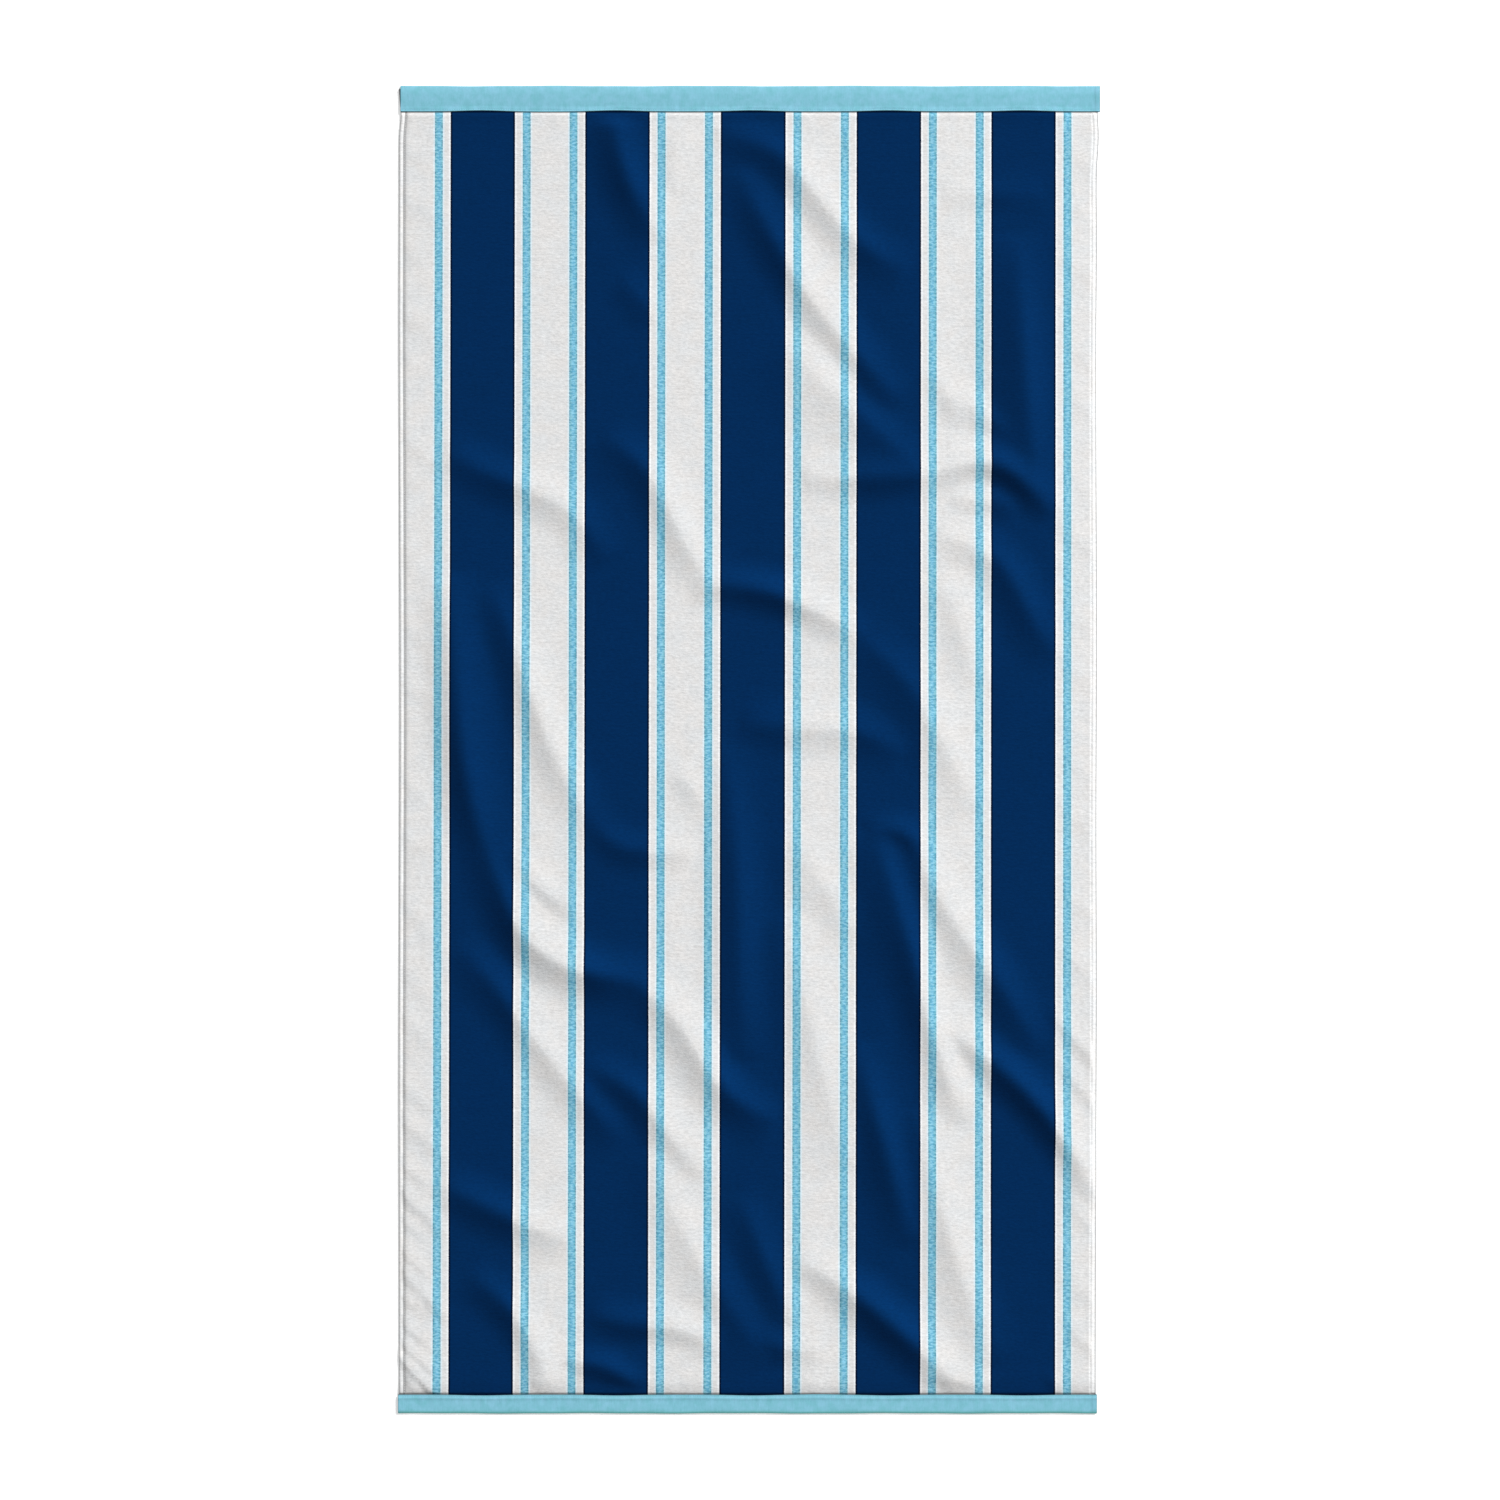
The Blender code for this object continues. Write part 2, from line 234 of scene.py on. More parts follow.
RIGHT_PLEATS = (
    Pleat(744, 54, 44, 0.8, 15),
    Pleat(681, 40, 30, 0.5, 12),
    Pleat(603, 62, 48, 0.8, 16),
    Pleat(497, 46, 36, 0.5, 12),
    Pleat(431, 58, 52, 0.7, 15),
    Pleat(328, 44, 30, 0.5, 13),
    Pleat(259, 64, 46, 0.8, 16),
    Pleat(151, 50, 38, 0.6, 13),
    Pleat(83, 60, 50, 0.7, 15),
    Pleat(-36, 42, 32, 0.5, 12),
    Pleat(-104, 62, 48, 0.8, 16),
    Pleat(-213, 50, 40, 0.8, 13),
    Pleat(-291, 58, 46, 1.0, 14),
    Pleat(-396, 70, 76, 2.4, 14),
    Pleat(-452, 52, 58, 1.8, 13),
    Pleat(-531, 62, 44, 1.0, 15),
    Pleat(-617, 48, 54, 1.2, 12),
    Pleat(-702, 60, 40, 0.9, 15),
    Pleat(-771, 46, 46, 1.3, 12),
)

# ---------------------------------------------------------------- the stripes, across the cloth
STRIPE_MIDDLES = (-342.7, -170.1, 4.4, 178.8, 351.4)  # of the navy stripes, half way along the towel
REPEAT = 173.5  # from one navy stripe to the next
NAVY_HALF = 41.1  # from a navy stripe's middle to its edge
LINE_NEAR = 51.5  # and to the two edges of the light blue line beside it
LINE_FAR = 61.5
LEAN_LEFT = 3.4  # a stripe drifts this far to the left from the top end to the bottom, at the left side
LEAN_RIGHT = 0.7  # and at the right side

# ---------------------------------------------------------------- light
KEY_BEARING = 48.0  # degrees: the key light comes from the upper right
KEY_HEIGHT = 38.0


def smooth_step(low, high, value):
    """0 up to low, 1 from high, and a smooth change between them."""
    share = np.clip((value - low) / (high - low), 0.0, 1.0)
    return share * share * (3.0 - 2.0 * share)


def swell(waves, along):
    """How far an edge is moved by its bulges, at a place along it."""
    return sum(reach * np.exp(-(((along - place) / half) ** 2)) for place, half, reach in waves)


def crest_points(fold, steps=14):
    """Points along a fold's crest."""
    start, end = np.array(fold.start, float), np.array(fold.end, float)
    run = end - start
    left = np.array((-run[1], run[0])) / np.hypot(*run)
    share = np.linspace(0.0, 1.0, steps)
    bowed = 1.125 * fold.bow * np.sin(math.pi * share)
    swayed = 1.15 * fold.sway * np.sin(2.0 * math.pi * share)
    return start + share[:, None] * run + (bowed + swayed)[:, None] * left


def fold_height(fold, across, along):
    """Height of one fold: highest along its crest, and falling away as a parabola to both sides."""
    points = crest_points(fold)
    nearest = np.full(across.shape, 1e9)
    side = np.zeros(across.shape)
    share = np.zeros(across.shape)
    pieces = len(points) - 1
    for index in range(pieces):
        base = points[index]
        run = points[index + 1] - base
        length = np.hypot(*run)
        place = ((across - base[0]) * run[0] + (along - base[1]) * run[1]) / length**2
        place = np.clip(place, 0.0, 1.0)
        off_x = across - base[0] - place * run[0]
        off_y = along - base[1] - place * run[1]
        distance = np.hypot(off_x, off_y)
        closer = distance < nearest
        nearest = np.where(closer, distance, nearest)
        side = np.where(closer, (run[0] * off_y - run[1] * off_x) / length, side)
        share = np.where(closer, (index + place) / pieces, share)
    spread = fold.lee + (fold.lit - fold.lee) * smooth_step(-CREST, CREST, side)
    away = (np.sqrt(nearest**2 + CREST**2) - CREST) / spread
    return fold.height * np.sin(math.pi * share) ** 0.6 * np.clip(1.0 - away, 0.0, None) ** 2


def pleat_height(pleats, place, out):
    """Height of the small pleats beside an edge, at a place along it and a distance out from it."""
    total = np.zeros(place.shape)
    for pleat in pleats:
        off = place - pleat.place - pleat.lean * out / pleat.reach
        ends = smooth_step(0.6, 5.0, out) * (1.0 - smooth_step(0.5 * pleat.reach, pleat.reach, out))
        total += pleat.height * ends * np.exp(-((off / pleat.half) ** 2))
    return total


def from_tapes(along):
    """Distance outside the nearer binding; negative inside it."""
    return np.minimum(TOP_EDGE - along, along - BOTTOM_EDGE)


def underside(across, along):
    """Height of the cloth's underside: its folds and pleats, and its climb into the bindings."""
    folds = np.sqrt(sum(fold_height(fold, across, along) ** 2 for fold in FOLDS))
    pleats = pleat_height(TOP_PLEATS, across, TOP_EDGE - along)
    pleats += pleat_height(BOTTOM_PLEATS, across, along - BOTTOM_EDGE)
    hems = pleat_height(LEFT_PLEATS, along, across - LEFT_LINE - PLEAT_START)
    hems += pleat_height(RIGHT_PLEATS, along, RIGHT_LINE - PLEAT_START - across)
    lift = (TAPE + PLAY) * (1.0 - smooth_step(0.5, RISE, from_tapes(along)))
    return (folds + hems) * smooth_step(0.0, FOLD_FADE, from_tapes(along)) + pleats + lift


def thickness(from_side, along):
    """The pile's thickness, the hems' at the long sides, and the pressed ends' inside the bindings."""
    places, depths = zip(*(row[:2] for row in HEM))
    open_cloth = np.interp(from_side, places, depths)
    return PRESSED + (open_cloth - PRESSED) * smooth_step(0.6, SWELL, from_tapes(along))


def between(low, high, cell):
    """Even steps between two places, leaving both out."""
    count = max(2, round((high - low) / cell))
    return np.linspace(low, high, count + 1)[1:-1]


def from_fine(low, high):
    """Steps between two places, leaving both out, that are finer where the cloth is wrinkled."""
    turn = low + WRINKLED
    return np.concatenate((between(low, turn, FINE_CELL), [turn], between(turn, high, CELL)))


def cloth_grid():
    """Places of the cloth's vertices as two grids, a row for each line across the towel."""
    steps = np.array((0.0, 0.5, 1.0, 1.6, 2.3, SWELL, 5.5, 8.5, 12.0, 16.0, 21.0))
    low = np.array((cloth_low[1], BOTTOM_EDGE - 12.0, BOTTOM_EDGE - 2.0))
    high = np.array((TOP_EDGE + 2.0, TOP_EDGE + 14.0, cloth_high[1]))
    first, last = BOTTOM_EDGE + steps, TOP_EDGE - steps[::-1]
    along = np.concatenate((low, first, from_fine(first[-1], last[0]), last, high))
    hem_steps = np.array([row[0] for row in HEM])
    inner_width = RIGHT_LINE - LEFT_LINE - 2.0 * hem_steps[-1]
    shares = from_fine(0.0, inner_width) / inner_width
    across = []
    for y in along:
        near = LEFT_LINE + swell(LEFT_WAVES, y) + hem_steps
        far = RIGHT_LINE + swell(RIGHT_WAVES, y) - hem_steps[::-1]
        across.append(np.concatenate((near, near[-1] + shares * (far[0] - near[-1]), far)))
    across = np.array(across)
    return across, np.repeat(along[:, None], across.shape[1], axis=1)


def stripe_place(across, along):
    """Place in the stripe repeat: whole repeats at the navy stripes' middles, which drift along the towel."""
    middles = np.array(STRIPE_MIDDLES)
    lean = np.interp(across, (LEFT_LINE, RIGHT_LINE), (LEAN_LEFT, LEAN_RIGHT))
    straight = across - lean * along / (cad_high[1] - cad_low[1]) * MM
    outer = (middles[0] - REPEAT, *middles, middles[-1] + REPEAT)
    return np.interp(straight, outer, (np.arange(len(outer)) + 1) * REPEAT)


def facing_key(across, along, height):
    """How steeply a surface turns towards the key light: positive on the lit side of a fold."""
    rise_x = np.gradient(height, axis=1) / np.gradient(across, axis=1)
    rise_y = np.gradient(height, axis=0) / np.gradient(along, axis=0)
    bearing = math.radians(KEY_BEARING)
    return -(rise_x * math.cos(bearing) + rise_y * math.sin(bearing))


def new_piece(name, points, faces, material):
    """A mesh object from points in millimetres."""
    mesh = bpy.data.meshes.new(name)
    mesh.from_pydata((np.asarray(points) * MM).tolist(), [], faces)
    mesh.materials.append(material)
    mesh.shade_smooth()
    mesh.update()
    piece = bpy.data.objects.new(name, mesh)
    bpy.context.scene.collection.objects.link(piece)
    return piece


def grid_faces(rows, columns, first=0, flip=False):
    """The quads of a grid whose points run row by row from the one numbered first."""
    at = first + np.arange(rows * columns).reshape(rows, columns)
    corners = (at[:-1, :-1], at[:-1, 1:], at[1:, 1:], at[1:, :-1])
    quads = np.stack(corners, axis=-1).reshape(-1, 4)
    return quads[:, ::-1] if flip else quads


def rim_faces(rows, columns):
    """The quads that join the edge of a grid to the edge of the same grid below it, which comes after it."""
    at = np.arange(rows * columns).reshape(rows, columns)
    edge = np.concatenate((at[0, :-1], at[:-1, -1], at[-1, :0:-1], at[:0:-1, 0]))
    after = np.roll(edge, -1)
    below = rows * columns
    return np.stack((edge, edge + below, after + below, after), axis=-1)


def set_map(mesh, name, places):
    """A UV map from one place for each vertex. Returns the vertex of each face corner."""
    layer = mesh.uv_layers.new(name=name)
    corner = np.empty(len(mesh.loops), np.int32)
    mesh.loops.foreach_get("vertex_index", corner)
    layer.uv.foreach_set("vector", places[corner].astype(np.float32).ravel())
    return corner


def set_value(mesh, name, values):
    """A number for each vertex, for the material."""
    attribute = mesh.attributes.new(name, "FLOAT", "POINT")
    attribute.data.foreach_set("value", np.asarray(values, np.float32).ravel())


def side_distance(across):
    """Distance in from the nearer long side."""
    return np.minimum(across - across[:, :1], across[:, -1:] - across)


def set_bake_map(mesh, across, along):
    """The map for baking: the pile on its left half, the underside on its right half."""
    rows, columns = across.shape
    share_x = (across - LEFT_LINE) / (RIGHT_LINE - LEFT_LINE)
    share_y = (along - cloth_low[1]) / (cloth_high[1] - cloth_low[1])
    half = np.stack((0.01 + 0.48 * share_x, 0.01 + 0.98 * share_y), axis=-1).reshape(-1, 2)
    corner = set_map(mesh, "OFBake", np.concatenate((half, half + (0.5, 0.0))))
    # The rim takes its colour from a narrow strip just outside the pile's own place on the map.
    first = 4 * 2 * (rows - 1) * (columns - 1)
    rim = corner[first:]
    lower = rim >= rows * columns
    places = half[rim % (rows * columns)]
    outward = np.where(places - 0.25 > 0, 1.0, -1.0) * (np.abs(places - (0.25, 0.5)) > (0.236, 0.488))
    places = places + outward * 0.004 * lower[:, None]
    uv = mesh.uv_layers["OFBake"].uv
    for index, place in zip(range(first, len(corner)), places):
        uv[index].vector = place


def make_cloth(material):
    """The striped cloth: a pile surface and an underside over the same grid, joined round the rim."""
    across, along = cloth_grid()
    rows, columns = across.shape
    from_side = side_distance(across)
    under = underside(across, along)
    over = under + thickness(from_side, along)
    top = np.stack((across, along, over), axis=-1).reshape(-1, 3)
    low = np.stack((across, along, under), axis=-1).reshape(-1, 3)
    sides = (grid_faces(rows, columns), grid_faces(rows, columns, rows * columns, True))
    faces = np.concatenate((*sides, rim_faces(rows, columns)))
    cloth = new_piece("towel_sheet", np.concatenate((top, low)), faces.tolist(), material)
    flat = np.stack((stripe_place(across, along), along - cloth_low[1]), axis=-1).reshape(-1, 2) * MM
    set_map(cloth.data, "cloth", np.concatenate((flat, flat)))
    set_bake_map(cloth.data, across, along)
    set_value(cloth.data, "reverse", np.repeat((0.0, 1.0), rows * columns))
    # each slope's tilt towards the key light, kept for the painted light and shade on the folds (turned round
    # for the underside)
    facing = facing_key(across, along, under)
    set_value(cloth.data, "slope_for_painted_shade", np.concatenate((facing.ravel(), -facing.ravel())))
    # painted light and shade: the hems' light and dark lines, and the light and the shadow beside each tape,
    # multiplied into the cloth's colour
    hem_places, _, left_painted_light, right_painted_light = zip(*HEM)
    tone = np.interp(across - across[:, :1], hem_places, left_painted_light)
    tone *= np.interp(across[:, -1:] - across, hem_places, right_painted_light)
    for near_tape, row in ((TOP_EDGE - along, 1), (along - BOTTOM_EDGE, 2)):
        tone *= np.interp(near_tape, [step[0] for step in BESIDE_TAPE], [step[row] for step in BESIDE_TAPE])
    set_value(cloth.data, "tone", np.concatenate((tone.ravel(), tone.ravel())))
    return cloth


# ---------------------------------------------------------------- bindings
SEAM = 2.3  # the stitch line's distance in from the tape's inner edge
END_TURN = 6.0  # the tape's ends are turned under over this length
# How light a tape is across its upper leaf, under the key light: distance in from its inner edge, and the
# top and the bottom tape
LEAF_TONES = (
    (0.0, 0.58, 0.52),
    (0.6, 0.82, 0.82),
    (1.2, 1.10, 1.10),
    (2.2, 1.23, 1.10),
    (3.4, 1.23, 1.00),
    (4.7, 1.05, 0.92),
    (6.2, 0.95, 0.97),
    (8.5, 0.97, 1.01),
    (20.0, 1.0, 1.01),
    (22.0, 1.02, 0.86),
    (25.0, 1.08, 0.78),
    (31.0, 1.08, 0.78),
    (33.0, 0.90, 0.78),
)
# Where a tape's inner edge wanders, mostly over the navy: place along it, half length, and how far
TOP_RIPPLES = tuple((middle, 34.0, -1.3) for middle in STRIPE_MIDDLES) + ((-262.0, 40.0, 0.4),)
BOTTOM_RIPPLES = tuple((middle, 36.0, -1.0) for middle in STRIPE_MIDDLES) + ((88.0, 26.0, 0.5),)


def tape_section(reach, height):
    """A folded tape in section, round its outline: (distance in from the fold, height) pairs."""
    outer = height / 2
    inner = outer - TAPE
    turn = np.linspace(0.0, math.pi, 9)
    edge = reach - np.array((6.4, 5.6, 4.8, 4.0, 3.4, 2.9, 2.6, SEAM, 2.0, 1.6, 1.2, 0.8, 0.45))
    leaf = np.concatenate((np.linspace(outer, reach - 7.2, 8)[1:], edge))
    outside = [(outer * (1.0 - math.sin(a)), outer - outer * math.cos(a)) for a in turn]
    inside = [(outer - inner * math.sin(a), outer + inner * math.cos(a)) for a in turn]
    upper = [(place, height) for place in leaf]
    lower = [(place, 0.0) for place in leaf[::-1]]
    upper_in = [(place, height - TAPE) for place in leaf[::-1]]
    lower_in = [(place, TAPE) for place in leaf]
    tips = [(reach, height - TAPE / 2)], [(reach, TAPE / 2)]
    return lower + outside + upper + tips[0] + upper_in + inside + lower_in + tips[1]


def tape_relief(across, inward, reach, seed):
    """How far the upper leaf stands above flat: a ridge beside its seam, puckers, and soft waves."""
    from_edge = reach - inward
    ridge = 0.34 * np.exp(-(((from_edge - 4.6) / 1.5) ** 2))
    dip = 0.22 * np.exp(-(((from_edge - SEAM) / 0.5) ** 2))
    wander = 2.2 * math.sin(across / 37.0 + seed)
    pucker = 0.13 * math.sin(across / 2.05 + wander) + 0.08 * math.sin(across / 1.17 + 1.7 * seed)
    waves = 0.22 * math.sin(across / 24.0 + seed) + 0.16 * math.sin(across / 13.7 + 2.0 * seed)
    near_seam = np.exp(-(((from_edge - 5.0) / 4.5) ** 2))
    broad = smooth_step(0.0, 5.0, inward) * smooth_step(1.0, 6.0, from_edge)
    return ridge - dip + pucker * near_seam + waves * broad + 0.12 * broad


def outer_wave(across, seed, bulge):
    """How far a tape's fold wanders in from the end of the towel, or bulges out."""
    return 0.3 * math.sin(across / 31.0 + seed) + 0.15 * math.sin(across / 12.0) - bulge


def make_binding(name, low, high, outward, reach, ripples, seed, bulge, material):
    """One end's tape, folded over the cloth. outward is +1 at the top end and -1 at the bottom end."""
    left, right = low[0], high[0]
    end = high[1] if outward > 0 else low[1]
    section = np.array(tape_section(reach, BINDING_HEIGHT))
    ring = len(section)
    upper = (section[:, 1] > BINDING_HEIGHT / 2) & (section[:, 0] > BINDING_HEIGHT / 2)
    ends = np.array((0.0, 0.4, 1.0, 1.8, END_TURN - 0.8, END_TURN, END_TURN + 0.8))
    middle = between(left + ends[-1], right - ends[-1], 2.4)
    stations = np.concatenate((left + ends, middle, right - ends[::-1]))
    leaf_places = [row[0] for row in LEAF_TONES]
    leaf_painted_light = [row[1 if outward > 0 else 2] for row in LEAF_TONES]
    rings, tones, painted_roll_shade = [], [], []
    for across in stations:
        inward, up = section[:, 0].copy(), section[:, 1].copy()
        share = smooth_step(0.3, 1.0, inward / reach)
        from_end = min(across - left, right - across)
        turned = 1.0 - smooth_step(END_TURN - 0.9, END_TURN + 0.9, from_end)
        up += upper * (tape_relief(across, inward, reach, seed) + 0.35 * turned)
        inward += share * swell(ripples, across) + (1.0 - share) * outer_wave(across, seed, bulge)
        rings.append(np.stack((np.full(ring, across), end - outward * inward, up), axis=-1))
        # painted light and shade across the tape: dark at its inner edge, a light band just inside it, and on
        # the bottom tape darker towards its fold
        tone = np.interp(reach - section[:, 0], leaf_places, leaf_painted_light)
        # painted shade: a dark line at the crease where each end is turned under, and darker over the last
        # 1.4 mm of each end
        tone -= 0.10 * np.exp(-(((from_end - END_TURN) / 0.9) ** 2))
        tones.append(tone - 0.35 * (1.0 - smooth_step(0.0, 1.4, from_end)))
        # painted shade: the bottom tape's fold, which faces away from the key light, is painted a darker teal
        painted_roll_shade.append((outward < 0) * (1.0 - smooth_step(1.0, 4.5, section[:, 0])))
    count = len(stations)
    at = np.arange(count * ring).reshape(count, ring)
    closed = np.concatenate((at, at[:, :1]), axis=1)
    corners = (closed[:-1, :-1], closed[:-1, 1:], closed[1:, 1:], closed[1:, :-1])
    faces = np.stack(corners, axis=-1).reshape(-1, 4).tolist()
    faces += [at[0].tolist()[::-1], at[-1].tolist()]
    if outward > 0:
        faces = [face[::-1] for face in faces]
    piece = new_piece(name, np.concatenate(rings), faces, material)
    lengths = np.concatenate(([0.0], np.cumsum(np.hypot(*np.diff(section, axis=0).T))))
    flat = np.stack((np.repeat(stations, ring), np.tile(lengths, count)), axis=-1) * MM
    set_map(piece.data, "tape", flat)
    set_value(piece.data, "tone", np.concatenate(tones))
    set_value(piece.data, "painted_roll_shade", np.concatenate(painted_roll_shade))
    return piece


# ---------------------------------------------------------------- stitches
STITCH_PITCH = 3.0  # from one stitch to the next
STITCH_LENGTH = 2.5
THREAD = 0.55  # thickness


def one_stitch():
    """A stitch that lies along X: a short thread whose ends dip into the cloth. Its mesh, in millimetres."""
    bpy.ops.mesh.primitive_uv_sphere_add(segments=8, ring_count=6, radius=0.5, rotation=(0, math.pi / 2, 0))
    seed = bpy.context.object
    bpy.ops.object.transform_apply(rotation=True)
    seed.scale = (STITCH_LENGTH, THREAD, THREAD)
    bpy.ops.object.transform_apply(scale=True)
    points = np.array([vertex.co for vertex in seed.data.vertices])
    points[:, 2] -= 0.5 * THREAD * (2.0 * points[:, 0] / STITCH_LENGTH) ** 4
    faces = [list(face.vertices) for face in seed.data.polygons]
    bpy.data.objects.remove(seed, do_unlink=True)
    return points, faces


def make_stitches(name, places, material):
    """Stitches along lines of places, one for each step of a line, joined in one mesh."""
    points, faces = one_stitch()
    all_points, all_faces = [], []
    for line in places:
        for start, end in zip(line, line[1:]):
            run = (end - start) / np.linalg.norm(end - start)
            aside = np.cross((0.0, 0.0, 1.0), run)
            aside /= np.linalg.norm(aside)
            turn = np.stack((run, aside, np.cross(run, aside)))
            first = len(all_points) * len(points)
            all_points.append((start + end) / 2 + points @ turn)
            all_faces += [[first + index for index in face] for face in faces]
    return new_piece(name, np.concatenate(all_points), all_faces, material)


def hem_seams():
    """The two hems' stitch lines, on the pile."""
    along = np.arange(BOTTOM_EDGE + 2.0, TOP_EDGE - 2.0, STITCH_PITCH)
    left = LEFT_LINE + swell(LEFT_WAVES, along) + HEM_SEAM
    right = RIGHT_LINE + swell(RIGHT_WAVES, along) - HEM_SEAM
    deep = thickness(np.full(len(along), HEM_SEAM), along) + 0.15 * THREAD
    return [np.stack((x, along, underside(x, along) + deep), axis=-1) for x in (left, right)]


def tape_seam(low, high, outward, reach, ripples, seed, bulge):
    """A binding's stitch line, on its upper leaf."""
    across = np.arange(low[0] + 2.5, high[0] - 2.0, STITCH_PITCH)
    end = high[1] if outward > 0 else low[1]
    inward = reach - SEAM
    share = smooth_step(0.3, 1.0, inward / reach)
    wander = np.array([outer_wave(x, seed, bulge) for x in across])
    along = end - outward * (inward + share * swell(ripples, across) + (1.0 - share) * wander)
    relief = np.array([tape_relief(x, inward, reach, seed) for x in across])
    up = BINDING_HEIGHT + relief + 0.15 * THREAD
    return [np.stack((across, along, up), axis=-1)]


# ---------------------------------------------------------------- materials
def put(tree, kind, inputs=(), **settings):
    """A new node with its settings, and with its inputs set or linked."""
    made = tree.nodes.new(kind)
    for name, value in settings.items():
        setattr(made, name, value)
    for name, value in dict(inputs).items():
        if isinstance(value, bpy.types.NodeSocket):
            tree.links.new(value, made.inputs[name])
        else:
            made.inputs[name].default_value = value
    return made


def new_material(name, roughness, specular=0.2, sheen=0.0):
    """A material with its shader. Cloth gets a little sheen."""
    material = bpy.data.materials.new(name)
    material.use_nodes = True
    shader = material.node_tree.nodes["Principled BSDF"]
    shader.inputs["Roughness"].default_value = roughness
    shader.inputs["Specular IOR Level"].default_value = specular
    shader.inputs["Sheen Weight"].default_value = sheen
    shader.inputs["Sheen Roughness"].default_value = 0.5
    shader.inputs["Sheen Tint"].default_value = (0.35, 0.65, 1.0, 1.0)
    return material, material.node_tree, shader


def maths(tree, operation, first, second=0.0, third=0.0):
    """The result of a sum on numbers or sockets."""
    return put(tree, "ShaderNodeMath", {0: first, 1: second, 2: third}, operation=operation).outputs[0]


def noise(tree, place, scale, detail=2.0, roughness=0.5):
    """A soft random number from 0 to 1 at each place."""
    inputs = {"Vector": place, "Scale": scale, "Detail": detail, "Roughness": roughness}
    return put(tree, "ShaderNodeTexNoise", inputs).outputs[0]


def stretched(tree, place, scales):
    """A place scaled along each axis, so that a noise is drawn out where the scale is small."""
    return put(tree, "ShaderNodeVectorMath", {0: place, 1: scales}, operation="MULTIPLY").outputs[0]


def value_of(tree, name):
    """A number that the mesh holds for each vertex."""
    return put(tree, "ShaderNodeAttribute", attribute_name=name).outputs["Fac"]


def grey(tree, value):
    """A grey from a number."""
    return put(tree, "ShaderNodeCombineColor", {0: value, 1: value, 2: value}).outputs[0]


def ramp(tree, factor, stops):
    """A colour ramp through (place, colour) stops."""
    made = put(tree, "ShaderNodeValToRGB", {"Fac": factor})
    points = made.color_ramp.elements
    while len(points) < len(stops):
        points.new(0.5)
    for point, (place, colour) in zip(points, stops):
        point.position = place
        point.color = (*colour, 1.0)
    return made.outputs["Color"]


def mixed(tree, factor, first, second, blend="MIX"):
    """Two colours mixed, or multiplied."""
    made = put(tree, "ShaderNodeMix", data_type="RGBA", blend_type=blend)
    for socket, value in ((made.inputs[0], factor), (made.inputs[6], first), (made.inputs[7], second)):
        if isinstance(value, bpy.types.NodeSocket):
            tree.links.new(value, socket)
        else:
            socket.default_value = value
    return made.outputs[2]


# colours of the yarns, and of the narrow lines where they change: a painted shade line along each navy
# stripe's edge, as if in a narrow groove, and pale rims beside the navy and the light blue lines
NAVY = (0.0006, 0.0212, 0.087)
NAVY_EDGE_SHADE = (0.0004, 0.0045, 0.022)
NAVY_FRINGE = (0.14, 0.19, 0.27)
GROUND = (0.692, 0.688, 0.692)
BRIGHT = (0.83, 0.84, 0.86)
FRINGE = (0.66, 0.76, 0.82)
BLUE_DEEP = (0.120, 0.385, 0.560)
BLUE_PALE = (0.265, 0.580, 0.750)
DEEP_SIDE = (0.108, 0.340, 0.435)
PALE_SIDE = (0.240, 0.520, 0.610)
BLUE_FLECK = (0.03, 0.15, 0.27)


def stripe_stops(line, side, fleck):
    """The stripes from a navy stripe's middle out to the white's middle, in millimetres."""
    return (
        (0.0, NAVY),
        (NAVY_HALF - 2.4, NAVY),
        # painted shade: a dark line along the navy's edge
        (NAVY_HALF - 1.6, NAVY_EDGE_SHADE),
        (NAVY_HALF + 0.1, NAVY_EDGE_SHADE),
        (NAVY_HALF + 0.3, NAVY_FRINGE),
        (NAVY_HALF + 0.6, BRIGHT),
        (NAVY_HALF + 2.0, BRIGHT),
        (NAVY_HALF + 3.0, GROUND),
        (LINE_NEAR - 2.4, GROUND),
        (LINE_NEAR - 1.6, FRINGE),
        (LINE_NEAR - 0.3, FRINGE),
        (LINE_NEAR + 0.2, fleck),
        (LINE_NEAR + 1.0, side),
        (LINE_NEAR + 3.4, line),
        (LINE_FAR - 4.2, line),
        (LINE_FAR - 1.0, side),
        (LINE_FAR - 0.2, fleck),
        (LINE_FAR + 0.3, FRINGE),
        (LINE_FAR + 1.6, FRINGE),
        (LINE_FAR + 2.6, GROUND),
        (REPEAT / 2, GROUND),
    )


